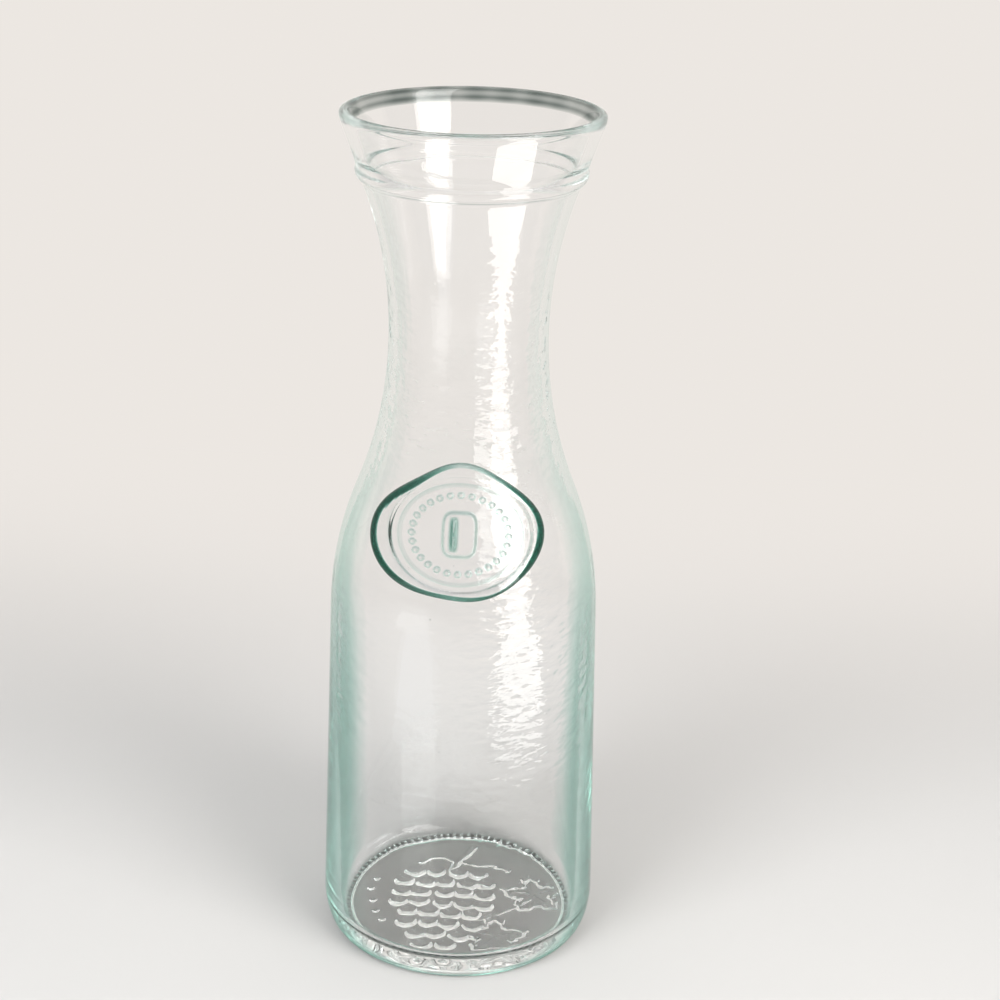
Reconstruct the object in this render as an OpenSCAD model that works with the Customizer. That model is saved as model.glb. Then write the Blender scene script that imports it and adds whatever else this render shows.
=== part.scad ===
// Wine carafe: a blown glass vessel with a stamped glass seal on its shoulder.
// Millimetres, +Z up, origin on the table at the middle of the foot, seal facing -Y.

/* [Vessel] */
// Height from the table to the top of the rim
vessel_h = 275; // [245:1:320]
// Thickness of the glass where the shoulder begins
wall_t = 2.6; // [2:0.1:3.6]
// Thickness of the glass in the neck and the flare
neck_t = 3.4; // [2.4:0.1:4.4]
// Thickness of the glass at the top of the heel
heel_t = 4.8; // [3:0.1:6]

/* [Body] */
// Outer diameter at the top of the heel
body_d = 91; // [88:0.2:96]
// Outer diameter where the shoulder begins
shoulder_d = 86; // [83:0.2:88]
// Height from where the shoulder begins to the waist of the neck
shoulder_h = 91.5; // [84:0.5:98]
// Height of the rounded heel
heel_h = 12; // [8:0.5:18]
// How far the heel draws in to the foot
heel_w = 4; // [2.5:0.1:6]

/* [Neck] */
// Outer diameter at the waist of the neck
waist_d = 49.5; // [47:0.2:55]
// Depth of the waist below the top of the rim
waist_drop = 68; // [66:0.5:75.5]
// Radius of the neck's hollow curve
neck_r = 135; // [125:1:145]

/* [Mouth] */
// Outer diameter of the rim
mouth_d = 79.2; // [75.4:0.2:81.4]
// Height of the rim's rounded edge
rim_h = 3.6; // [1.5:0.1:5]
// Depth of the ring round the flare below the top of the rim
ring_drop = 18.7; // [15:0.1:20]
// Height of the ring from edge to edge
ring_w = 5; // [3:0.1:6]
// How far the ring stands out of the flare
ring_out = 1.1; // [0.5:0.1:1.4]

/* [Base] */
// Height of the floor inside the vessel
floor_z = 5.5; // [4.5:0.1:8]
// Radius of the hollow between floor and wall
floor_fillet = 5; // [3:0.1:8]
// Width of the flat ring that the vessel stands on
bearing_w = 3; // [1.5:0.1:5]
// Depth of the push-up under the base
pushup_h = 1.8; // [0.8:0.1:2.5]
// Width of the slope from the bearing ring to the push-up
pushup_slope = 1.5; // [0.5:0.1:3]

/* [Seal] */
// Height of the seal's middle above where the shoulder begins
seal_rise = 37.9; // [34.5:0.2:41.5]
// Mean radius of the seal's wavy outline
seal_r = 22.9; // [21:0.1:24]
// Thickness of the lip of glass squeezed out round the die
lip_t = 2.6; // [1.8:0.1:3.4]
// Width of the lip's rounded edge
lip_round = 1.8; // [1:0.1:2.4]
// Width of the die's oval print
die_w = 40; // [36:0.2:41]
// Height of the die's oval print
die_h = 34; // [30:0.2:35]
// How far the print lies to the right of the seal's middle
die_x = 1.2; // [-1.5:0.1:1.5]
// Thickness of the glass left under the die
die_t = 1.8; // [1:0.1:2.4]
// Width of the slope round the print
die_slope = 0.8; // [0.4:0.1:1.2]
// Seat between the seal and the wall
seal_seat = 0.05; // [0.04:0.01:0.15]

/* [Hidden] */

// Steps in each arc of the profile, sectors round the seal and rings across its back
arc_steps = 20;
seal_sectors = 72;
back_rings = 12;
solve_steps = 12;

// Crests of the seal's outline: how many, how high as a share of its radius, and where one lies
seal_waves = [[2, 0.113, 3], [3, 0.026, -43], [4, 0.026, 4], [5, 0.013, 13]];

// Heights of the waist, the shoulder, the ring and the seal, from the rim down
waist_z = vessel_h - waist_drop;
shoulder_z = waist_z - shoulder_h;
ring_z = vessel_h - ring_drop;
seal_z = shoulder_z + seal_rise;

// Body line: from the top of the heel to the start of the shoulder, outside and inside, with its normal
function line_dir(p, q) = (q - p) / norm(q - p);
function line_normal(p, q) = let (d = line_dir(p, q)) [d.y, -d.x];
function line_angle(n) = atan2(n.y, n.x);
body_r = body_d / 2;
foot_r = body_r - heel_w;
heel_top = [body_r, heel_h];
shoulder = [shoulder_d / 2, shoulder_z];
body_dir = line_dir(heel_top, shoulder);
body_normal = line_normal(heel_top, shoulder);
shoulder_in = shoulder - wall_t * body_normal;
inner_normal = line_normal(heel_top - [heel_t, 0], shoulder_in);

// Neck arcs about neck_c, and the shoulder arcs that touch them and the body lines at p
neck_c = [waist_d / 2 + neck_r, waist_z];
neck_in_r = neck_r + neck_t;
function touch_r(p, n, r) = let (reach = p - neck_c) (reach * reach - r * r) / (2 * (reach * n + r));
shoulder_r = touch_r(shoulder, body_normal, neck_r);
shoulder_c = shoulder - shoulder_r * body_normal;
join_angle = line_angle(neck_c - shoulder_c);
join_z = shoulder_c.y + shoulder_r * sin(join_angle);
inner_r = touch_r(shoulder_in, inner_normal, neck_in_r);
inner_c = shoulder_in - inner_r * inner_normal;
inner_join = line_angle(neck_c - inner_c);

// Flare: a straight wall from the neck arc to the middle of the rim's rounded edge, half an ellipse
half_t = neck_t / 2;
function rim_middle(flare) = [
    mouth_d / 2 - norm([half_t * cos(flare), rim_h * sin(flare)]),
    vessel_h - norm([half_t * sin(flare), rim_h * cos(flare)])];
function flare_to(c) =
    let (span = neck_c - c) -line_angle(span) - acos((neck_r + half_t) / norm(span));
function solve_flare(flare, n) = n == 0 ? flare : solve_flare(flare_to(rim_middle(flare)), n - 1);
flare_angle = solve_flare(0, solve_steps);
rim_c = rim_middle(flare_angle);
flare_normal = [cos(flare_angle), -sin(flare_angle)];
flare_dir = [sin(flare_angle), cos(flare_angle)];
flare_start = neck_c - neck_r * flare_normal;

// Ring round the flare, or round the neck arc where that reaches higher: a round segment
ring_r = (ring_w * ring_w / 4 + ring_out * ring_out) / (2 * ring_out);
ring_half = asin(ring_w / 2 / ring_r);
on_arc = ring_z < flare_start.y;
ring_lean = on_arc ? asin((ring_z - waist_z) / neck_r) : flare_angle;
ring_normal = [cos(ring_lean), -sin(ring_lean)];
ring_foot = on_arc ? neck_c - neck_r * ring_normal :
    flare_start + flare_dir * (ring_z - flare_start.y) / flare_dir.y;
ring_c = ring_foot - (ring_r - ring_out) * ring_normal;

// Inside of the base
fillet_z = floor_z + floor_fillet;
fillet_off = floor_fillet + inner_normal.y * (fillet_z - shoulder_in.y);
fillet_c = [shoulder_in.x - fillet_off / inner_normal.x, fillet_z];
bearing_in = foot_r - bearing_w;

// Points of an arc from angle a to angle b, with both ends or without the first
function arc(c, r, a, b, first = 0) =
    [for (i = [first : arc_steps]) let (t = a + (b - a) * i / arc_steps) c + r * [cos(t), sin(t)]];

heel_curve =
    [for (i = [0 : arc_steps]) let (t = 90 * i / arc_steps) [foot_r + heel_w * sin(t), heel_h * (1 - cos(t))]];
underside = [[0, pushup_h], [bearing_in - pushup_slope, pushup_h], [bearing_in, 0]];
neck_curve = arc(neck_c, neck_r, 180 + join_angle, 180 - flare_angle, first = 1);
ring_curve = arc(ring_c, ring_r, -ring_lean - ring_half, -ring_lean + ring_half);
outside = concat(
    heel_curve,
    arc(shoulder_c, shoulder_r, line_angle(body_normal), join_angle),
    [for (p = neck_curve) if (p.y < ring_curve[0].y) p],
    ring_curve,
    [for (p = neck_curve) if (p.y > ring_curve[arc_steps].y) p]);
rim = [for (i = [0 : arc_steps]) let (t = 180 * i / arc_steps)
    rim_c + half_t * cos(t) * flare_normal + rim_h * sin(t) * flare_dir];
inside = concat(
    arc(neck_c, neck_in_r, 180 - flare_angle, 180 + inner_join),
    arc(inner_c, inner_r, inner_join, line_angle(inner_normal), first = 1),
    arc(fillet_c, floor_fillet, line_angle(inner_normal), -90),
    [[0, floor_z]]);

// Outer radius of the wall at a height, and how fast it grows with height
function wall_r(z) =
    z < shoulder_z ? shoulder.x + (z - shoulder_z) * body_dir.x / body_dir.y :
    z < join_z ? shoulder_c.x + sqrt(shoulder_r ^ 2 - (z - shoulder_c.y) ^ 2) :
    neck_c.x - sqrt(neck_r ^ 2 - (z - neck_c.y) ^ 2);
function wall_slope(z) =
    z < shoulder_z ? body_dir.x / body_dir.y :
    z < join_z ? -(z - shoulder_c.y) / sqrt(shoulder_r ^ 2 - (z - shoulder_c.y) ^ 2) :
    (z - neck_c.y) / sqrt(neck_r ^ 2 - (z - neck_c.y) ^ 2);

// Plane that touches the shoulder at the seal's middle: right, up the slope and out of the wall
seal_lean = atan(-wall_slope(seal_z));
function on_plane(p, w) =
    let (up = [0, sin(seal_lean), cos(seal_lean)], out = [0, -cos(seal_lean), sin(seal_lean)])
    [p.x, -wall_r(seal_z), seal_z] + p.y * up + w * out;

// Point of the wall straight behind p of that plane
function on_wall(p, w = 0, n = solve_steps) =
    let (q = on_plane(p, w))
    n == 0 ? q : on_wall(p, w - norm([q.x, q.y]) + wall_r(q.z), n - 1);

// The same point lifted off the wall by t
function lifted(p, t) =
    let (q = on_wall(p), r = norm([q.x, q.y]), out = [q.x / r, q.y / r, -wall_slope(q.z)])
    q + t * out / norm(out);

// Outline of the seal and of the die's print, by angle round the seal
function crest(a, i = 0) =
    i == len(seal_waves) ? 0 :
    let (w = seal_waves[i]) w[1] * cos(w[0] * (a - w[2])) + crest(a, i + 1);
function outline(a) = seal_r * (1 + crest(a)) * [cos(a), sin(a)];
function print(a) = [die_x + die_w / 2 * cos(a), die_h / 2 * sin(a)];
die_c = [die_x, 0];

// Front of the seal from the print's middle to the outline: at each ring a point of the plane and a thickness
function front(a) =
    let (edge = outline(a), rise = print(a), out = (edge - rise) / norm(edge - rise))
    concat(
        [for (s = [0.35, 0.7, 1]) [die_c + s * (rise - die_c), die_t]],
        [[rise + die_slope * out, lip_t]],
        [for (t = [0 : 15 : 75]) [edge - lip_round * (1 - sin(t)) * out, seal_seat + (lip_t - seal_seat) * cos(t)]],
        [[edge, seal_seat]]);
function back(a) = [for (i = [1 : back_rings - 1]) [outline(a) + (die_c - outline(a)) * i / back_rings, seal_seat]];

seal_rings = [for (k = [0 : seal_sectors - 1]) let (a = 360 * k / seal_sectors) concat(front(a), back(a))];
ring_count = len(seal_rings[0]);
seal_points = concat(
    [for (column = seal_rings) for (p = column) lifted(p[0], p[1])],
    [lifted(die_c, die_t), lifted(die_c, seal_seat)]);
front_tip = seal_sectors * ring_count;
back_tip = front_tip + 1;
function at(k, i) = (k % seal_sectors) * ring_count + i;
seal_faces = [for (k = [0 : seal_sectors - 1]) each concat(
    [[front_tip, at(k + 1, 0), at(k, 0)], [back_tip, at(k, ring_count - 1), at(k + 1, ring_count - 1)]],
    [for (i = [0 : ring_count - 2]) each [
        [at(k, i), at(k + 1, i), at(k + 1, i + 1)],
        [at(k, i), at(k + 1, i + 1), at(k, i + 1)]]])];

// Vessel turned from one closed profile
module glass_vessel() {
    color([0.80, 0.90, 0.86, 0.45])
        rotate_extrude($fn = 180) polygon(concat(underside, outside, rim, inside));
}

// Pad of glass pressed on to the shoulder, with a wavy lip round an oval print
module stamped_seal() {
    color([0.45, 0.70, 0.60, 0.70])
        polyhedron(seal_points, seal_faces);
}

glass_vessel();
stamped_seal();
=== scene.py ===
"""Wine carafe of clear, faintly green glass with a stamped seal on its shoulder.

Lengths are in millimetres until a mesh is made, which is in metres. The seal faces -Y.
"""
import math

import bmesh
import bpy
import numpy as np
from mathutils import Matrix, Vector


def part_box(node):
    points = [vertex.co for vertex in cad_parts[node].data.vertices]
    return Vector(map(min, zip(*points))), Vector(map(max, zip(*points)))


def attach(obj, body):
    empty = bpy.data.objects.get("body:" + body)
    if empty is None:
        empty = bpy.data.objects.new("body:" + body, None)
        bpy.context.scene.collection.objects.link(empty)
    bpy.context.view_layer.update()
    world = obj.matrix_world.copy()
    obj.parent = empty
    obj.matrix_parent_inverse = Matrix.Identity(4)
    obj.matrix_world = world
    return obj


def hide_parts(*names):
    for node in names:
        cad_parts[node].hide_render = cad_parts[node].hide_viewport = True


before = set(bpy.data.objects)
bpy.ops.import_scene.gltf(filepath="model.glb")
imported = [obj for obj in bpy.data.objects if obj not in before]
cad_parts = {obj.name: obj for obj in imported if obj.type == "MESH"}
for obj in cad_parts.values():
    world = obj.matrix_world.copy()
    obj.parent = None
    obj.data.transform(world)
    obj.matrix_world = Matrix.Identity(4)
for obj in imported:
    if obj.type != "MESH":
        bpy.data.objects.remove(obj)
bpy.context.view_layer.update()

MM = 0.001

# Vessel: outline of the wall, from the foot to the rim
vessel_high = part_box("glass_vessel")[1]
VESSEL_H = vessel_high.z / MM
BODY_R = vessel_high.x / MM
WALL_T, NECK_T, HEEL_T = 2.6, 3.4, 4.8
SHOULDER = np.array([43.0, 115.5])
WAIST = np.array([24.75, 207.0])
NECK_R = 135.0
MOUTH_R, RIM_H, RIM_SQUARE, RIM_STEPS = 39.6, 3.6, 0.6, 36
RING_Z, RING_W, RING_OUT = 256.3, 5.0, 1.1
HEEL_H, HEEL_W = 12.0, 4.0
FLOOR_Z, FLOOR_FILLET = 5.5, 5.0
BEARING_W, PUSHUP_H, PUSHUP_SLOPE = 3.0, 1.8, 1.5

# Knurled foot: notches across the ring that the vessel stands on, clear of the ring's edges
NOTCHES, STEPS_PER_NOTCH, NOTCH_DEPTH = 93, 4, 0.3
NOTCH_FROM, NOTCH_PAST, NOTCH_EASE, FLAT_H = 0.5, 0.4, 0.4, 0.2
SECTORS = NOTCHES * STEPS_PER_NOTCH

# Bunch of grapes under the base: berries by row, and the middles and paths of what grows round them
RELIEF_RINGS = 77
BERRY_COUNTS, ROW_PITCH, BERRY_PITCH, BERRY_STRAY = (4, 5, 5, 5, 4, 4, 3, 2), 6.1, 7.4, 0.6
BUNCH_X, BUNCH_TOP = -5.0, 14.0
STEM = (-3, 16), (-2, 21), (1, 26), (3, 31)
TENDRILS = ((-2, 21), (-7, 24), (-12, 23.5), (-15, 20)), ((-1, 22), (6, 20), (12, 21), (17, 18))
LEAF_STALK = (25, 1), (19, -5), (13, -10), (8, -13)
LEAVES = ((26.5, 4.5), 8.0, 100), ((14.0, -21.5), 8.0, 20)
DOTS, DOT_R = ((-31, 2), (-29, -5), (-27, -11), (-24, -16), (-30, 8)), 1.3

# Unevenness of blown glass: slow waves outside and inside, fine reeds inside, and seeds in the wall
OUTER_WAVE = dict(seed=3, count=8, turns=(1, 7), height_waves=0.02, size=0.05)
INNER_WAVE = dict(seed=4, count=14, turns=(2, 18), height_waves=0.03, size=0.09)
INNER_REED = dict(seed=9, count=18, turns=(18, 60), height_waves=0.03, size=0.006)
SEEDS = 34

# Painted shade on the rim's inner edge: how far down it reaches, and how it changes round the mouth
RIM_DARK_H, RIM_EASE = 3.8, 0.4
RIM_CHANGE = dict(seed=21, count=10, turns=(2, 26), height_waves=0, size=0.2)

# Seal: wavy pad of glass with an oval print, and the band along its edge, green of thick glass with
# painted shade
SEAL_Z, SEAL_R = 153.4, 22.9
SEAL_WAVES = ((2, 0.113, 3), (3, 0.026, -43), (4, 0.026, 4), (5, 0.013, 13))
LIP_T, LIP_ROUND, LIP_SWELL = 2.6, 1.8, 0.1
DIE_W, DIE_H, DIE_X, DIE_T, DIE_SLOPE = 40.0, 34.0, 1.2, 1.8, 0.8
SEAL_SUNK, BAND_W, BAND_EASE = 0.3, 1.8, 0.3
SEAL_SECTORS, PRINT_RINGS = 288, 43

# What the print holds: a thin ring, a row of beads and a plain upright plaque with one bar
THIN_RING_REACH, THIN_RING_HALF_W, THIN_RING_RISE = 0.89, 0.02, 0.25
BEADS, BEAD_R, BEAD_REACH, BEAD_RISE = 28, 0.95, 0.7, 0.5
PLAQUE_HALF_W, PLAQUE_HALF_H, PLAQUE_RISE = 4.7, 6.6, 1.1
BAR_X, BAR_HALF_W, BAR_HALF_H, BAR_RISE = DIE_X - 1.6, 0.7, 4.6, 0.6

# Glass: what a thick layer lets through, how strongly, the painted shade of an edge, and the green with
# painted shade of a side seen end on
GLASS_IOR, MOST_HAZE = 1.52, 0.02
GLASS_TINT, GLASS_DENSITY = (0.32, 0.83, 0.71), 0.7
# The rim's edge colour is painted shade; the seal's is the green of thick glass with painted shade
RIM_PAINTED_SHADE, SEAL_GREEN_AND_SHADE = (0.02, 0.03, 0.027), (0.00015, 0.008, 0.0035)
# Green of a side seen end on, through a long path of glass, darkened further as painted shade
SIDE_GREEN_AND_SHADE = (0.022, 0.18, 0.115)

# Studio: colours of floor and wall, how far behind the carafe one turns into the other, and the lamps
FLOOR_COLOUR, WALL_COLOUR, WALL_FROM, WALL_FULL = (0.65, 0.635, 0.62), (0.84, 0.80, 0.76), 60, 380
COOL, WARM, BLUE = (0.95, 0.98, 1.0), (1.0, 0.99, 0.97), (0.8, 0.88, 1.0)
ROOM_COLOUR, ROOM_STRENGTH = (0.96, 0.98, 1.0), 0.45
WINDOW_AIM_Z, WINDOW_SPREAD, GLINT_Z = 140, 120, 2
BOUNCES = 128

# View of the carafe: the camera stands in front, a little to the right of the seal's middle
VIEW_TURN, VIEW_DISTANCE, VIEW_HEIGHT = 4.5, 602.4, 387.9
VIEW_YAW, VIEW_PITCH, VIEW_ROLL = 1.041, 21.48, 1.54
VIEW_FOCAL_PX, FRAME_PX, SENSOR = 2032.0, 1000.0, 36.0


def unit(v):
    """Vector of length 1 along v."""
    return v / np.linalg.norm(v)


def polar(angle):
    """Unit vector at an angle in degrees."""
    return np.array([math.cos(math.radians(angle)), math.sin(math.radians(angle))])


def angle_of(v):
    """Angle of a vector in degrees."""
    return math.degrees(math.atan2(v[1], v[0]))


def right_of(a, b):
    """Unit vector square to the line from a to b, on its right."""
    along = unit(b - a)
    return np.array([along[1], -along[0]])


def arc(centre, radius, start, end, steps):
    """Points of an arc between two angles in degrees, with both ends."""
    t = np.radians(np.linspace(start, end, steps + 1))
    return centre + radius * np.stack([np.cos(t), np.sin(t)], 1)


def line(a, b, steps):
    """Points between a and b, without both ends."""
    t = np.linspace(0, 1, steps + 1)[1:-1, None]
    return np.asarray(a) * (1 - t) + np.asarray(b) * t


def falls(t, soft):
    """1 well below zero and 0 well above it, with a soft step between."""
    return 0.5 - 0.5 * np.tanh(t / (2 * soft))


# Arcs and lines of the wall, each tangent to the next, on the outside and on the inside
heel_top = np.array([BODY_R, HEEL_H])
body_normal = right_of(heel_top, SHOULDER)
shoulder_in = SHOULDER - WALL_T * body_normal
inner_normal = right_of(heel_top - [HEEL_T, 0], shoulder_in)
neck_c = WAIST + [NECK_R, 0]


def touching_arc(start, normal, neck_r):
    """(middle, radius, angle at its end) of the arc from a straight wall to the neck's arc."""
    reach = start - neck_c
    radius = (reach @ reach - neck_r**2) / (2 * (reach @ normal + neck_r))
    middle = start - radius * normal
    return middle, radius, angle_of(neck_c - middle)


shoulder_c, shoulder_r, join_angle = touching_arc(SHOULDER, body_normal, NECK_R)
inner_c, inner_r, inner_join = touching_arc(shoulder_in, inner_normal, NECK_R + NECK_T)
join_z = (shoulder_c + shoulder_r * polar(join_angle))[1]

# The flare runs from the neck's arc to the middle of the rounded rim, which leans with it
half_t = NECK_T / 2
flare_angle = 20.0
for _ in range(20):
    flare_normal, flare_dir = polar(-flare_angle), polar(90 - flare_angle)
    rim_c = [MOUTH_R, VESSEL_H] - np.hypot(half_t * flare_normal, RIM_H * flare_dir)
    span = neck_c - rim_c
    flare_angle = -angle_of(span) - math.degrees(math.acos((NECK_R + half_t) / np.linalg.norm(span)))
flare_start = neck_c - NECK_R * flare_normal
foot_r = BODY_R - HEEL_W
bearing_in = foot_r - BEARING_W
pushup_r = bearing_in - PUSHUP_SLOPE


def wall_radius(z):
    """Outer radius of the wall at heights from the body to the neck."""
    body = SHOULDER[0] - (z - SHOULDER[1]) * body_normal[1] / body_normal[0]
    shoulder = shoulder_c[0] + np.sqrt(shoulder_r**2 - (z - shoulder_c[1]) ** 2)
    neck = neck_c[0] - np.sqrt(np.maximum(NECK_R**2 - (z - neck_c[1]) ** 2, 0))
    return np.where(z < SHOULDER[1], body, np.where(z < join_z, shoulder, neck))


def wall_slope(z):
    """How fast the outer radius grows with height."""
    body = -body_normal[1] / body_normal[0] + 0 * z
    shoulder = -(z - shoulder_c[1]) / np.sqrt(shoulder_r**2 - (z - shoulder_c[1]) ** 2)
    neck = (z - neck_c[1]) / np.sqrt(NECK_R**2 - (z - neck_c[1]) ** 2)
    return np.where(z < SHOULDER[1], body, np.where(z < join_z, shoulder, neck))


def wall_profile():
    """Radius and height along the wall: outside up to the rim, then inside down to the floor."""
    heel_t = np.radians(np.linspace(0, 90, 12))
    heel = np.stack([foot_r + HEEL_W * np.sin(heel_t), HEEL_H * (1 - np.cos(heel_t))], 1)
    ring_r = (RING_W**2 / 4 + RING_OUT**2) / (2 * RING_OUT)
    ring_half = math.degrees(math.asin(RING_W / 2 / ring_r))
    ring_foot = flare_start + flare_dir * (RING_Z - flare_start[1]) / flare_dir[1]
    ring_c = ring_foot - (ring_r - RING_OUT) * flare_normal
    ring = arc(ring_c, ring_r, -flare_angle - ring_half, -flare_angle + ring_half, steps=9)
    rim_t = np.radians(np.linspace(0, 180, RIM_STEPS + 1))[:, None]
    rim_across = np.sign(np.cos(rim_t)) * np.abs(np.cos(rim_t)) ** RIM_SQUARE
    rim_up = np.abs(np.sin(rim_t)) ** RIM_SQUARE
    rim = rim_c + half_t * rim_across * flare_normal + RIM_H * rim_up * flare_dir
    neck_top = 180 - flare_angle
    shoulder_arc = arc(shoulder_c, shoulder_r, angle_of(body_normal), join_angle, steps=13)
    neck_arc = arc(neck_c, NECK_R, 180 + join_angle, neck_top, steps=24)[1:]
    outside = [heel, line(heel[-1], shoulder_arc[0], steps=14), shoulder_arc, neck_arc]
    outside += [line(neck_arc[-1], ring[0], steps=2), ring, line(ring[-1], rim[0], steps=4), rim]
    neck_in = arc(neck_c, NECK_R + NECK_T, neck_top, 180 + inner_join, steps=24)
    shoulder_arc_in = arc(inner_c, inner_r, inner_join, angle_of(inner_normal), steps=13)[1:]
    fillet_z = FLOOR_Z + FLOOR_FILLET
    fillet_off = FLOOR_FILLET + inner_normal[1] * (fillet_z - shoulder_in[1])
    fillet_c = np.array([shoulder_in[0] - fillet_off / inner_normal[0], fillet_z])
    fillet = arc(fillet_c, FLOOR_FILLET, angle_of(inner_normal), -90, steps=8)
    inside = [line(rim[-1], neck_in[0], steps=12), neck_in, shoulder_arc_in]
    inside += [line(shoulder_arc_in[-1], fillet[0], steps=14), fillet]
    inside.append(line(fillet[-1], [0, FLOOR_Z], steps=6))
    return np.concatenate(outside), np.concatenate(inside)


def ripples(seed, count, turns, height_waves, size):
    """A smooth unevenness of the glass by angle and height: waves that run mostly up the wall."""
    draw = np.random.default_rng(seed)
    waves = []
    for _ in range(count):
        n, k = int(draw.integers(*turns)), draw.uniform(-height_waves, height_waves)
        waves.append((n, k, draw.uniform(0, 2 * math.pi)))

    def height(angle, z):
        total = sum(np.cos(n * angle + k * z + start) for n, k, start in waves)
        return size * total / math.sqrt(count)

    return height


def berry_rows():
    """Middle, radius and height of each berry of the bunch, from the stem to the tip."""
    draw = np.random.default_rng(11)
    berries = []
    for row, count in enumerate(BERRY_COUNTS):
        for k in range(count):
            x = BUNCH_X + (k - (count - 1) / 2) * BERRY_PITCH + draw.uniform(-BERRY_STRAY, BERRY_STRAY)
            y = BUNCH_TOP - row * ROW_PITCH + draw.uniform(-BERRY_STRAY, BERRY_STRAY)
            berries.append((x, y, draw.uniform(3.6, 4.0), draw.uniform(1.3, 1.6)))
    return berries


def ridge(x, y, points, half_width, height):
    """Height of a rounded ridge along a line of points."""
    away = np.full_like(x, np.inf)
    for a, b in zip(points, points[1:]):
        run = np.subtract(b, a)
        along = np.clip(((x - a[0]) * run[0] + (y - a[1]) * run[1]) / (run @ run), 0, 1)
        away = np.minimum(away, np.hypot(x - a[0] - along * run[0], y - a[1] - along * run[1]))
    return height * np.clip(1 - (away / half_width) ** 2, 0, None)


def leaf(x, y, middle, size, turn):
    """Height of a raised leaf with a notched edge and veins."""
    dx, dy = x - middle[0], y - middle[1]
    away, angle = np.hypot(dx, dy), np.arctan2(dy, dx) - math.radians(turn)
    edge = size * (1 + 0.22 * np.cos(5 * angle) + 0.06 * np.cos(20 * angle))
    inside = falls(away - edge, 0.25)
    outline = np.exp(-(((away - edge) / 1.2) ** 2))
    off_vein = away * np.abs(np.sin(((5 * angle + math.pi) % (2 * math.pi) - math.pi) / 5))
    vein = np.exp(-((off_vein / 0.5) ** 2)) * inside
    return 0.15 * inside + 1.1 * outline + 0.2 * vein


def bunch_relief(x, y):
    """How far the moulded bunch of grapes stands out of the underside, over the push-up."""
    berries = np.zeros_like(x)
    for bx, by, br, height in berry_rows():
        off = np.hypot(x - bx, y - by) / br
        lean = 1 + 0.3 * np.clip((y - by) / br, -1, 1)
        berries = np.maximum(berries, lean * height * np.clip(1 - off**3, 0, None))
    growth = ridge(x, y, STEM, half_width=1.7, height=1.1)
    for tendril in TENDRILS:
        growth = np.maximum(growth, ridge(x, y, tendril, half_width=1.0, height=0.7))
    growth = np.maximum(growth, ridge(x, y, LEAF_STALK, half_width=0.9, height=0.7))
    for middle, size, turn in LEAVES:
        growth = np.maximum(growth, leaf(x, y, middle, size, turn))
    for dx, dy in DOTS:
        growth = np.maximum(growth, np.clip(1 - ((x - dx) ** 2 + (y - dy) ** 2) / DOT_R**2, 0, None))
    cover = np.clip(berries / 0.3, 0, 1)
    raised = np.maximum(berries, growth * (1 - cover))
    return raised * np.clip((pushup_r - 1.0 - np.hypot(x, y)) / 1.5, 0, 1)


def grid_mesh(name, rings, first_tip, last_tip, masks, bubbles=()):
    """A closed mesh from rings of points with a tip at each end, hollow bubbles inside it, and masks."""
    count, around = rings.shape[:2]
    points = [rings.reshape(-1, 3), np.array([first_tip, last_tip])]
    ring, step = np.meshgrid(np.arange(count - 1), np.arange(around), indexing="ij")
    after = (step + 1) % around
    this, above = ring * around, (ring + 1) * around
    quads = np.stack([this + step, this + after, above + after, above + step], -1)
    faces = quads.reshape(-1, 4).tolist()
    tip, last = count * around, (count - 1) * around
    for k in range(around):
        faces.append((tip, (k + 1) % around, k))
        faces.append((tip + 1, last + k, last + (k + 1) % around))
    total = count * around + 2
    for bubble_points, bubble_faces in bubbles:
        points.append(bubble_points)
        faces += [tuple(total + i for i in reversed(face)) for face in bubble_faces]
        total += len(bubble_points)
    mesh = bpy.data.meshes.new(name)
    mesh.from_pydata((np.concatenate(points) * MM).tolist(), [], faces)
    mesh.shade_smooth()
    for mask, values in masks.items():
        layer = mesh.attributes.new(mask, "FLOAT", "POINT")
        spread = np.zeros(total, np.float32)
        spread[:count * around] = np.broadcast_to(values, (count, around)).reshape(-1)
        layer.data.foreach_set("value", spread)
    piece = bpy.data.objects.new(name, mesh)
    bpy.context.scene.collection.objects.link(piece)
    return piece


def seeds_in_wall(count):
    """Small bubbles of air, drawn out upwards, in the middle of the body's wall."""
    ball = bmesh.new()
    bmesh.ops.create_icosphere(ball, subdivisions=2, radius=1)
    points = np.array([v.co for v in ball.verts])
    faces = [[v.index for v in face.verts] for face in ball.faces]
    ball.free()
    draw = np.random.default_rng(5)
    seeds = []
    for _ in range(count):
        z, angle = draw.uniform(16, 128), draw.uniform(0, 2 * math.pi)
        size = draw.uniform(0.09, 0.2)
        wall = np.interp(z, [HEEL_H, SHOULDER[1]], [HEEL_T, WALL_T])
        radius = float(wall_radius(np.array(z))) - wall * draw.uniform(0.3, 0.7)
        middle = np.array([radius * math.cos(angle), radius * math.sin(angle), z])
        seeds.append((middle + points * size * np.array([1, 1, 1.5]), faces))
    return seeds


def base_underside(turn):
    """The underside as rings of points from its middle, with the bunch standing down from it."""
    ring_r = np.linspace(0, pushup_r, RELIEF_RINGS + 1)[1:, None]
    relief = bunch_relief(ring_r * turn[:, 0], ring_r * turn[:, 1])
    return np.concatenate([ring_r[..., None] * turn, (PUSHUP_H - relief)[..., None]], 2)


def foot_notches(profile):
    """How far each point of the foot is notched upwards, by ring and sector."""
    from_inside = profile[:, 0] - bearing_in - NOTCH_FROM
    from_outside = foot_r + NOTCH_PAST - profile[:, 0]
    across = np.clip(from_inside / NOTCH_EASE, 0, 1) * np.clip(from_outside / NOTCH_EASE, 0, 1)
    notch = (np.arange(SECTORS) % STEPS_PER_NOTCH == 0) * NOTCH_DEPTH
    return (across * (profile[:, 1] < FLAT_H))[:, None] * notch


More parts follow.
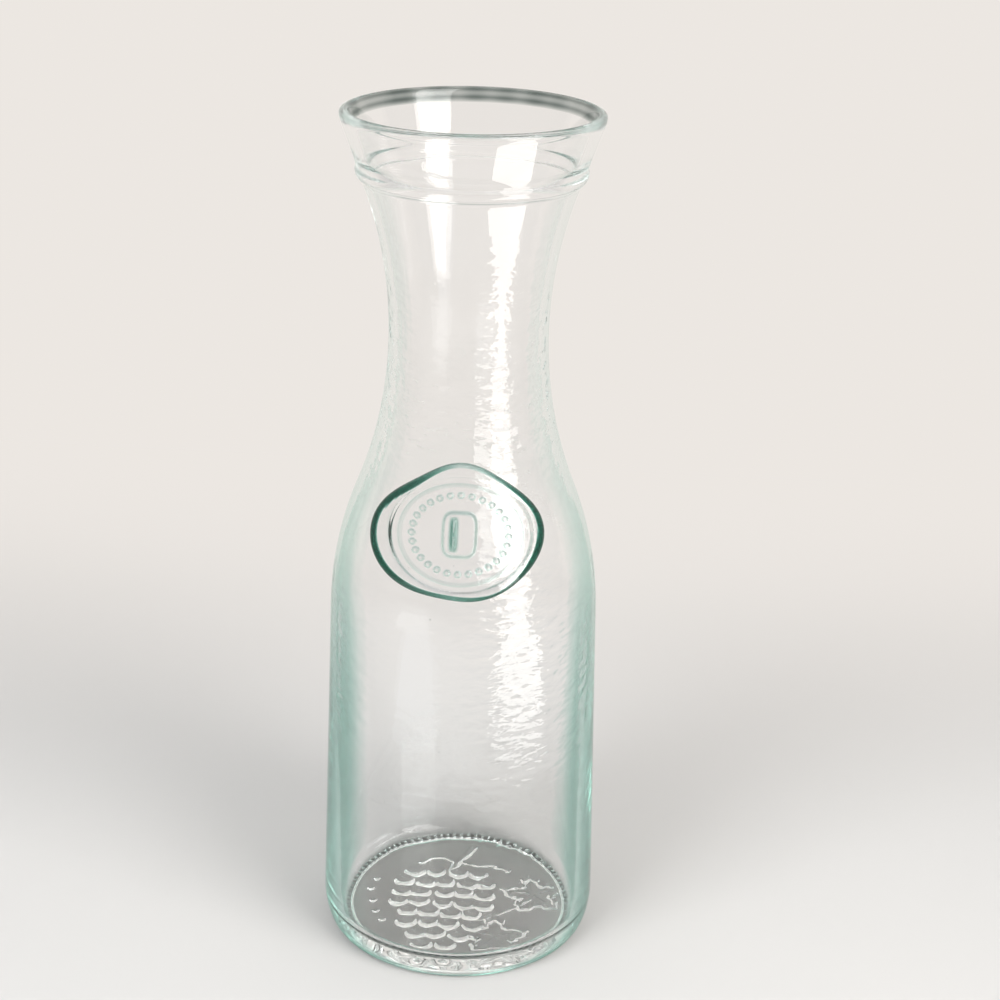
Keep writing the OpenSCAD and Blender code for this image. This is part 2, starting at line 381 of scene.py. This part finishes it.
def wall_shift(angle, z, height, is_inside):
    """How far the blown wall wanders from its true radius, calmer towards the heel and the rim."""
    shift = ripples(**OUTER_WAVE)(angle, z)
    shift[is_inside] = (ripples(**INNER_WAVE)(angle, z) + ripples(**INNER_REED)(angle, z))[is_inside]
    from_foot = np.clip((height - 30) / 80, 0, 1)
    from_rim = np.clip((VESSEL_H - 6 - height) / 16, 0, 1)
    return shift * (from_foot * from_rim)[:, None]


def vessel_masks(angle, height, is_inside, past_top):
    """Where the wall ripples, where its sides turn green with painted shade and where painted shade
    darkens the rim's inner edge.
    """
    uneven = np.interp(height, [58, 80, 130, 160, 185, 225, RING_Z - 6], [0.05, 1, 1, 0.7, 1.2, 1.0, 0])
    uneven = uneven * np.where(is_inside, 1.0, 0.7)
    off_front = (np.degrees(angle) + 90 + 180) % 360 - 180
    least, ripple_at, ripple_width = 0.06, 27, 20
    near_seal = least + (1 - least) * np.exp(-(((off_front - ripple_at) / ripple_width) ** 2))
    all_round = np.interp(height, [150, 180, 200, 225], [0, 0.4, 0.3, 0.1])[:, None]
    # Green with painted shade on sides seen end on, strongest low on the body and fading up to the rim
    side_green = np.interp(height, [70, 115, 160, RING_Z, VESSEL_H], [1, 0.42, 0.18, 0.06, 0.0])
    below = VESSEL_H - height
    upper_line = np.exp(-(((below - 0.6) / 0.5) ** 2))
    lower_line = np.exp(-(((below - 2.9) / 0.6) ** 2))
    # Painted shade along the rim's inner edge, strongest in two lines just below its top and varied
    # round the mouth
    rim_share = 0.45 + 0.55 * np.clip(upper_line + lower_line, 0, 1)
    rim_share = past_top * np.clip((RIM_DARK_H - below) / RIM_EASE, 0, 1) * rim_share
    rim_change = np.clip(0.8 + ripples(**RIM_CHANGE)(angle, 0), 0.3, 1)
    masks = {
        "uneven": uneven[:, None] * np.maximum(near_seal, all_round),
        "side_green": side_green[:, None],
        "thick_edge": rim_share[:, None] * rim_change,
    }
    shape = len(height), SECTORS
    none_under = (RELIEF_RINGS, 0), (0, 0)
    return {
        name: np.pad(np.broadcast_to(values, shape), none_under)
        for name, values in masks.items()
    }


def make_vessel():
    """The vessel as one closed mesh, with its moulded base, knurled foot and uneven wall."""
    angle = np.arange(SECTORS) * 2 * math.pi / SECTORS
    turn = np.stack([np.cos(angle), np.sin(angle)], 1)
    slope = line([pushup_r, PUSHUP_H], [bearing_in, 0], steps=3)
    bearing = line([bearing_in - 0.2, 0], [foot_r, 0], steps=6)
    outside, inside = wall_profile()
    profile = np.concatenate([slope, bearing, outside, inside])
    number, rim_end = np.arange(len(profile)), len(profile) - len(inside)
    is_inside, past_top = number >= rim_end, number > rim_end - RIM_STEPS / 2
    height = profile[:, 1]
    z = height[:, None] + foot_notches(profile)
    radius = profile[:, :1] + wall_shift(angle, z, height, is_inside)
    wall = np.stack([radius * turn[:, 0], radius * turn[:, 1], z], 2)
    rings = np.concatenate([base_underside(turn), wall])
    tip_z = PUSHUP_H - float(bunch_relief(np.zeros(1), np.zeros(1))[0])
    tips = [0, 0, tip_z], [0, 0, FLOOR_Z]
    masks = vessel_masks(angle, height, is_inside, past_top)
    return grid_mesh("glass_vessel_blown", rings, *tips, masks, seeds_in_wall(SEEDS))


def seal_outline(angle):
    """Distance from the seal's middle to its wavy edge."""
    crests = sum(share * np.cos(n * (angle - math.radians(at))) for n, share, at in SEAL_WAVES)
    return SEAL_R * (1 + crests)


seal_lean = math.atan(-float(wall_slope(np.array(SEAL_Z))))
seal_origin = np.array([0, -float(wall_radius(np.array(SEAL_Z))), SEAL_Z])
seal_up = np.array([0, math.sin(seal_lean), math.cos(seal_lean)])
seal_out = np.array([0, -math.cos(seal_lean), math.sin(seal_lean)])
print_middle = np.array([DIE_X, 0.0])


def on_wall(x, y, lift):
    """Points of the wall straight behind points of the seal's plane, lifted off the wall."""
    depth = np.zeros_like(x)
    for _ in range(14):
        p = seal_origin + x[..., None] * [1, 0, 0] + y[..., None] * seal_up + depth[..., None] * seal_out
        depth = depth - np.hypot(p[..., 0], p[..., 1]) + wall_radius(p[..., 2])
    radius = np.hypot(p[..., 0], p[..., 1])
    normal = np.stack([p[..., 0] / radius, p[..., 1] / radius, -wall_slope(p[..., 2])], -1)
    return p + lift[..., None] * normal / np.linalg.norm(normal, axis=-1, keepdims=True)


def print_ornament(x, y):
    """Height of what the die leaves in the print: ring, beads, plaque and bar."""
    away = np.hypot((x - DIE_X) / (DIE_W / 2), y / (DIE_H / 2))
    ring = THIN_RING_RISE * np.exp(-(((away - THIN_RING_REACH) / THIN_RING_HALF_W) ** 2))
    beads = np.zeros_like(x)
    for k in range(BEADS):
        t = 2 * math.pi * k / BEADS
        bx, by = DIE_X + BEAD_REACH * DIE_W / 2 * math.cos(t), BEAD_REACH * DIE_H / 2 * math.sin(t)
        off = ((x - bx) ** 2 + (y - by) ** 2) / BEAD_R**2
        beads = np.maximum(beads, BEAD_RISE * np.sqrt(np.clip(1 - off, 0, None)))
    off_plaque = np.hypot(((x - DIE_X) / PLAQUE_HALF_W) ** 2, (y / PLAQUE_HALF_H) ** 2)
    plaque = PLAQUE_RISE * falls(off_plaque - 1, 0.05)
    bar = BAR_RISE * np.exp(-(((x - BAR_X) / BAR_HALF_W) ** 2) - (y / BAR_HALF_H) ** 6)
    return ring + beads + plaque + bar


def seal_rings(turn, edge):
    """Rings of points from the print over the lip to the back, in the seal's plane, and their lifts."""
    rise = print_middle + turn * [DIE_W / 2, DIE_H / 2]
    out = (edge - rise) / np.linalg.norm(edge - rise, axis=1, keepdims=True)
    lip_start, lip_end = rise + DIE_SLOPE * out, edge - LIP_ROUND * out
    rings, lifts = [], []
    for share in np.linspace(0, 1, PRINT_RINGS + 1)[1:]:
        rings.append(print_middle + share * (rise - print_middle))
        lifts.append(DIE_T + print_ornament(rings[-1][:, 0], rings[-1][:, 1]))
    for share in np.linspace(0, 1, 5)[1:]:
        ease = share * share * (3 - 2 * share)
        rings.append(rise + share * (lip_start - rise))
        lifts.append(np.full(SEAL_SECTORS, DIE_T + ease * (LIP_T - DIE_T)))
    for share in np.linspace(0, 1, 7)[1:-1]:
        rings.append(lip_start + share * (lip_end - lip_start))
        lifts.append(np.full(SEAL_SECTORS, LIP_T + LIP_SWELL * math.sin(math.pi * share)))
    for t in np.radians(np.linspace(0, 90, 12)):
        rings.append(edge - LIP_ROUND * (1 - math.sin(t)) * out)
        lifts.append(np.full(SEAL_SECTORS, LIP_T * math.cos(t)))
    for share in np.linspace(0, 1, 18)[:-1]:
        rings.append(edge + share * (print_middle - edge))
        lifts.append(np.full(SEAL_SECTORS, -SEAL_SUNK))
    return np.stack(rings), np.stack(lifts)


def seal_masks(plane, edge, angle):
    """The band along the pad's edge, green of thick glass with painted shade, darker at its sides, and
    painted shade on the print's slopes.
    """
    # Painted shade in the band: strongest at the pad's sides, weaker towards its top and bottom
    side, upper = np.abs(np.cos(angle)), np.clip(np.sin(angle + 0.2), 0, 1)
    band_shade = 0.6 + 0.4 * side - 0.55 * upper**4 - 0.2 * np.clip(-np.sin(angle), 0, 1) ** 12
    width = BAND_W + (1.25 - 0.4 * np.cos(angle)) * side**2
    width = width + 0.25 * np.cos(3 * angle - 0.6) + 0.2 * np.cos(5 * angle + 1)
    from_edge = np.linalg.norm(plane - edge, axis=2)
    band = np.clip((width - from_edge) / BAND_EASE, 0, 1) * np.clip(band_shade, 0, 1)
    x, y = plane[..., 0], plane[..., 1]
    # Painted shade on the print's steep slopes, as dark strokes along its edges, stronger on the bar
    step = 0.2
    across = print_ornament(x + step, y) - print_ornament(x - step, y)
    upward = print_ornament(x, y + step) - print_ornament(x, y - step)
    steep = np.clip(np.hypot(across, upward) / (2 * step), 0, 1)
    on_bar = (np.abs(x - BAR_X) < BAR_HALF_W + 1) & (np.abs(y) < BAR_HALF_H + 0.6)
    on_print = (np.arange(len(plane)) < PRINT_RINGS)[:, None] * np.where(on_bar, 0.6, 0.12)
    return {
        "uneven": np.ones((len(plane), 1)),
        # Half the green with painted shade on the seal's sides seen end on
        "side_green": np.full((len(plane), 1), 0.5),
        "thick_edge": np.maximum(band, steep * on_print),
    }


def make_seal():
    """The pad of glass pressed on to the shoulder, its back sunk a little into the wall."""
    angle = -np.arange(SEAL_SECTORS) * 2 * math.pi / SEAL_SECTORS
    turn = np.stack([np.cos(angle), np.sin(angle)], 1)
    edge = seal_outline(angle)[:, None] * turn
    plane, lifts = seal_rings(turn, edge)
    points = on_wall(plane[..., 0], plane[..., 1], lifts)
    tip_lift = DIE_T + print_ornament(print_middle[:1], print_middle[1:])[0]
    tips = on_wall(np.full(2, DIE_X), np.zeros(2), np.array([tip_lift, -SEAL_SUNK]))
    return grid_mesh("stamped_seal_pressed", points, *tips, seal_masks(plane, edge, angle))


def add_math(tree, operation, first, second, clamp=False):
    """A sum, difference or product of two sockets or numbers, as the socket of its result."""
    node = tree.nodes.new("ShaderNodeMath")
    node.operation = operation
    node.use_clamp = clamp
    for socket, value in zip(node.inputs, (first, second)):
        if isinstance(value, bpy.types.NodeSocket):
            tree.links.new(value, socket)
        else:
            socket.default_value = value
    return node.outputs["Value"]


def add_range(tree, value, low, high):
    """A node that turns a value between low and high into a share of its upper end."""
    node = tree.nodes.new("ShaderNodeMapRange")
    node.inputs["From Min"].default_value = low
    node.inputs["From Max"].default_value = high
    tree.links.new(value, node.inputs["Value"])
    return node


def add_mask(tree, name):
    """The socket of a mask that a piece's mesh carries."""
    node = tree.nodes.new("ShaderNodeAttribute")
    node.attribute_name = name
    return node.outputs["Fac"]


def add_tint(tree, colour, share):
    """White that turns into a colour as the share grows to 1, as light does in ever thicker glass."""
    node = tree.nodes.new("ShaderNodeGamma")
    node.inputs["Color"].default_value = (*colour, 1)
    tree.links.new(share, node.inputs["Gamma"])
    return node.outputs["Color"]


def surface_group():
    """Shared effect of hot-worked glass: the height of its ripples and the haze of a handled surface."""
    group = bpy.data.node_groups.new("hot_glass_surface", "ShaderNodeTree")
    for name in ("Ripple Scale", "Stretch", "Most Haze"):
        group.interface.new_socket(name, in_out="INPUT", socket_type="NodeSocketFloat")
    for name in ("Height", "Haze"):
        group.interface.new_socket(name, in_out="OUTPUT", socket_type="NodeSocketFloat")
    nodes, links = group.nodes, group.links
    given, made = nodes.new("NodeGroupInput"), nodes.new("NodeGroupOutput")
    place = nodes.new("ShaderNodeTexCoord")

    stretch = nodes.new("ShaderNodeCombineXYZ")
    stretch.inputs["X"].default_value = 1
    stretch.inputs["Y"].default_value = 1
    links.new(given.outputs["Stretch"], stretch.inputs["Z"])
    drawn = nodes.new("ShaderNodeVectorMath")
    drawn.operation = "MULTIPLY"
    links.new(place.outputs["Object"], drawn.inputs[0])
    links.new(stretch.outputs["Vector"], drawn.inputs[1])
    ripple = nodes.new("ShaderNodeTexNoise")
    ripple.inputs["Detail"].default_value = 2
    ripple.inputs["Roughness"].default_value = 0.4
    links.new(drawn.outputs["Vector"], ripple.inputs["Vector"])
    links.new(given.outputs["Ripple Scale"], ripple.inputs["Scale"])
    height = add_math(group, "MULTIPLY", ripple.outputs["Fac"], add_mask(group, "uneven"))
    links.new(height, made.inputs["Height"])

    smear = nodes.new("ShaderNodeTexNoise")
    smear.inputs["Scale"].default_value = 38
    smear.inputs["Detail"].default_value = 4
    links.new(place.outputs["Object"], smear.inputs["Vector"])
    haze = add_range(group, smear.outputs["Fac"], 0.4, 0.75)
    links.new(given.outputs["Most Haze"], haze.inputs["To Max"])
    links.new(haze.outputs["Result"], made.inputs["Haze"])
    return group


def glass(name, surface, edge_tint_and_shade, ripple_scale, stretch, bump):
    """Clear glass tinted by its depth, with painted shade along an edge and green with painted shade on
    a side that is seen end on.
    """
    material = bpy.data.materials.new(name)
    material.use_nodes = True
    tree = material.node_tree
    nodes, links = tree.nodes, tree.links
    shader = nodes["Principled BSDF"]
    shader.inputs["Transmission Weight"].default_value = 1
    shader.inputs["IOR"].default_value = GLASS_IOR

    effect = nodes.new("ShaderNodeGroup")
    effect.node_tree = surface
    effect.inputs["Ripple Scale"].default_value = ripple_scale
    effect.inputs["Stretch"].default_value = stretch
    effect.inputs["Most Haze"].default_value = MOST_HAZE
    relief = nodes.new("ShaderNodeBump")
    relief.inputs["Distance"].default_value = bump * MM
    links.new(effect.outputs["Height"], relief.inputs["Height"])
    links.new(relief.outputs["Normal"], shader.inputs["Normal"])
    links.new(effect.outputs["Haze"], shader.inputs["Roughness"])

    seen_side = nodes.new("ShaderNodeNewGeometry")
    # Edge shade is painted only where the surface is met from outside, so on the rim the far side
    # darkens and the near side stays clear
    from_outside = add_math(tree, "SUBTRACT", 1, seen_side.outputs["Backfacing"])
    edge_share = add_math(tree, "MULTIPLY", add_mask(tree, "thick_edge"), from_outside)
    # A side seen end on turns green with painted shade, by how far the surface turns from the view
    weight = nodes.new("ShaderNodeLayerWeight")
    weight.inputs["Blend"].default_value = 0.3
    end_on = add_range(tree, weight.outputs["Facing"], 0.3, 0.75)
    side_share = add_math(tree, "MULTIPLY", end_on.outputs["Result"], add_mask(tree, "side_green"))
    tint = nodes.new("ShaderNodeMix")
    tint.data_type = "RGBA"
    tint.blend_type = "MULTIPLY"
    tint.inputs["Factor"].default_value = 1
    links.new(add_tint(tree, edge_tint_and_shade, edge_share), tint.inputs["A"])
    links.new(add_tint(tree, SIDE_GREEN_AND_SHADE, side_share), tint.inputs["B"])
    links.new(tint.outputs["Result"], shader.inputs["Base Color"])

    depth = nodes.new("ShaderNodeVolumeAbsorption")
    depth.inputs["Color"].default_value = (*GLASS_TINT, 1)
    depth.inputs["Density"].default_value = GLASS_DENSITY
    links.new(depth.outputs["Volume"], nodes["Material Output"].inputs["Volume"])
    return material


def sweep_paper():
    """Matt studio paper: a pale floor that takes the shadow, and an even, paler wall above it."""
    material = bpy.data.materials.new("pale_paper")
    material.use_nodes = True
    tree = material.node_tree
    nodes, links = tree.nodes, tree.links
    shader = nodes["Principled BSDF"]
    shader.inputs["Base Color"].default_value = (*FLOOR_COLOUR, 1)
    shader.inputs["Roughness"].default_value = 0.8
    shader.inputs["Specular IOR Level"].default_value = 0.1
    glow = nodes.new("ShaderNodeEmission")
    glow.inputs["Color"].default_value = (*WALL_COLOUR, 1)

    place = nodes.new("ShaderNodeTexCoord")
    parts = nodes.new("ShaderNodeSeparateXYZ")
    links.new(place.outputs["Object"], parts.inputs["Vector"])
    rise = add_range(tree, parts.outputs["Y"], WALL_FROM * MM, WALL_FULL * MM)
    rise.interpolation_type = "SMOOTHSTEP"
    path = nodes.new("ShaderNodeLightPath")
    seen = add_math(tree, "ADD", path.outputs["Is Camera Ray"], path.outputs["Is Glossy Ray"])
    seen = add_math(tree, "ADD", seen, path.outputs["Is Transmission Ray"], clamp=True)
    share = add_math(tree, "MULTIPLY", seen, rise.outputs["Result"])
    mix = nodes.new("ShaderNodeMixShader")
    links.new(share, mix.inputs["Fac"])
    links.new(shader.outputs["BSDF"], mix.inputs[1])
    links.new(glow.outputs["Emission"], mix.inputs[2])
    links.new(mix.outputs["Shader"], nodes["Material Output"].inputs["Surface"])
    return material


def make_sweep():
    """Pale floor that curves up into a backdrop behind the carafe."""
    half_width, front, back, bend, top = 2600, -2600, 650, 400, 2400
    curve = arc(np.array([back - bend, bend]), bend, -90, 0, steps=24)
    side = np.concatenate([[[front, 0]], curve, [[back, top]]])
    points = [(x * MM, y * MM, z * MM) for x in (-half_width, half_width) for y, z in side]
    n = len(side)
    faces = [(i, n + i, n + i + 1, i + 1) for i in range(n - 1)]
    mesh = bpy.data.meshes.new("studio_sweep")
    mesh.from_pydata(points, [], faces)
    mesh.shade_smooth()
    sweep = bpy.data.objects.new("studio_sweep", mesh)
    bpy.context.scene.collection.objects.link(sweep)
    mesh.materials.append(sweep_paper())


def area_lamp(name, size, watts, colour):
    """A rectangular lamp that the camera doesn't see."""
    lamp = bpy.data.lights.new(name, "AREA")
    lamp.shape = "RECTANGLE"
    lamp.size, lamp.size_y = size[0] * MM, size[1] * MM
    lamp.energy = watts
    lamp.color = colour
    box = bpy.data.objects.new(name, lamp)
    box.visible_camera = False
    bpy.context.scene.collection.objects.link(box)
    return box


def window(name, azimuth, distance, height, size, watts, colour):
    """A bright window that faces the carafe: azimuth 0 is the camera's side, positive to its right."""
    box = area_lamp(name, size, watts, colour)
    a = math.radians(azimuth)
    box.location = Vector((distance * math.sin(a), -distance * math.cos(a), height)) * MM
    aim = Vector((0, 0, WINDOW_AIM_Z)) * MM - box.location
    box.rotation_euler = aim.to_track_quat("-Z", "Y").to_euler()
    return box


def floor_glint(name, azimuth, near, far, width, watts, colour):
    """A bright strip low on the floor, as a window's light lies on it, for the body to mirror."""
    box = area_lamp(name, (width, far - near), watts, colour)
    a, middle = math.radians(azimuth), (near + far) / 2
    box.location = Vector((middle * math.sin(a), -middle * math.cos(a), GLINT_Z)) * MM
    box.rotation_euler = (math.pi, 0, a)
    return box


def light_studio():
    """Tall windows beside the camera, glints on the floor, a lamp overhead and a dim room."""
    left = window("left_window", azimuth=-36, distance=700, height=490,
                  size=(400, 1100), watts=2.9, colour=COOL)
    right = window("right_window", azimuth=48, distance=677, height=536,
                   size=(430, 997), watts=3.1, colour=WARM)
    sill = window("right_window_sill", azimuth=48, distance=923, height=44,
                  size=(430, 124), watts=0.38, colour=WARM)
    for box in (left, right, sill):
        box.data.spread = math.radians(WINDOW_SPREAD)
    floor_glint("left_glint", azimuth=-36, near=430, far=720, width=260, watts=0.15, colour=COOL)
    floor_glint("left_glint_near", azimuth=-32, near=200, far=430, width=130, watts=0.05, colour=BLUE)
    glint = floor_glint("right_glint", azimuth=50, near=215, far=900, width=200, watts=2.2, colour=WARM)
    overhead = window("overhead", azimuth=180, distance=300, height=2200,
                      size=(1800, 1800), watts=12, colour=WARM)
    for box in (left, overhead):
        box.visible_glossy = False
    for box in (left, sill, glint):
        box.visible_transmission = False
    world = bpy.data.worlds.new("dim_room")
    world.use_nodes = True
    room = world.node_tree.nodes["Background"]
    room.inputs["Color"].default_value = (*ROOM_COLOUR, 1)
    room.inputs["Strength"].default_value = ROOM_STRENGTH
    bpy.context.scene.world = world


def place_camera():
    """The camera at the photograph's place: its distance, height, aim and roll."""
    turn = Matrix.Rotation(math.radians(VIEW_TURN), 3, "Z")
    yaw, pitch, roll = (math.radians(a) for a in (VIEW_YAW, VIEW_PITCH, VIEW_ROLL))
    forward = math.cos(pitch)
    ahead = turn @ Vector((math.sin(yaw) * forward, math.cos(yaw) * forward, -math.sin(pitch)))
    level = ahead.cross(Vector((0, 0, 1))).normalized()
    upright = level.cross(ahead)
    right = math.cos(roll) * level + math.sin(roll) * upright
    up = right.cross(ahead)
    camera = bpy.data.cameras.new("camera")
    camera.sensor_width = SENSOR
    camera.lens = VIEW_FOCAL_PX / FRAME_PX * SENSOR
    holder = bpy.data.objects.new("camera", camera)
    axes = Matrix((right, up, -ahead)).transposed().to_4x4()
    holder.matrix_world = Matrix.Translation(turn @ Vector((0, -VIEW_DISTANCE, VIEW_HEIGHT)) * MM) @ axes
    bpy.context.scene.collection.objects.link(holder)
    bpy.context.scene.camera = holder


def settle_render():
    """True colours, and enough bounces for light to cross both walls of the vessel."""
    scene = bpy.context.scene
    scene.view_settings.view_transform = "Standard"
    scene.cycles.max_bounces = BOUNCES
    scene.cycles.transmission_bounces = BOUNCES
    scene.cycles.glossy_bounces = BOUNCES


place_camera()
light_studio()
make_sweep()
settle_render()

hot_glass = surface_group()
vessel = make_vessel()
vessel_glass = glass("vessel_glass", hot_glass, RIM_PAINTED_SHADE, ripple_scale=200, stretch=1.8, bump=0.75)
vessel.data.materials.append(vessel_glass)
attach(vessel, "root")
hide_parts("glass_vessel")

seal = make_seal()
seal_glass = glass("seal_glass", hot_glass, SEAL_GREEN_AND_SHADE, ripple_scale=120, stretch=1.0, bump=0.05)
seal.data.materials.append(seal_glass)
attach(seal, "root")
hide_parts("stamped_seal")
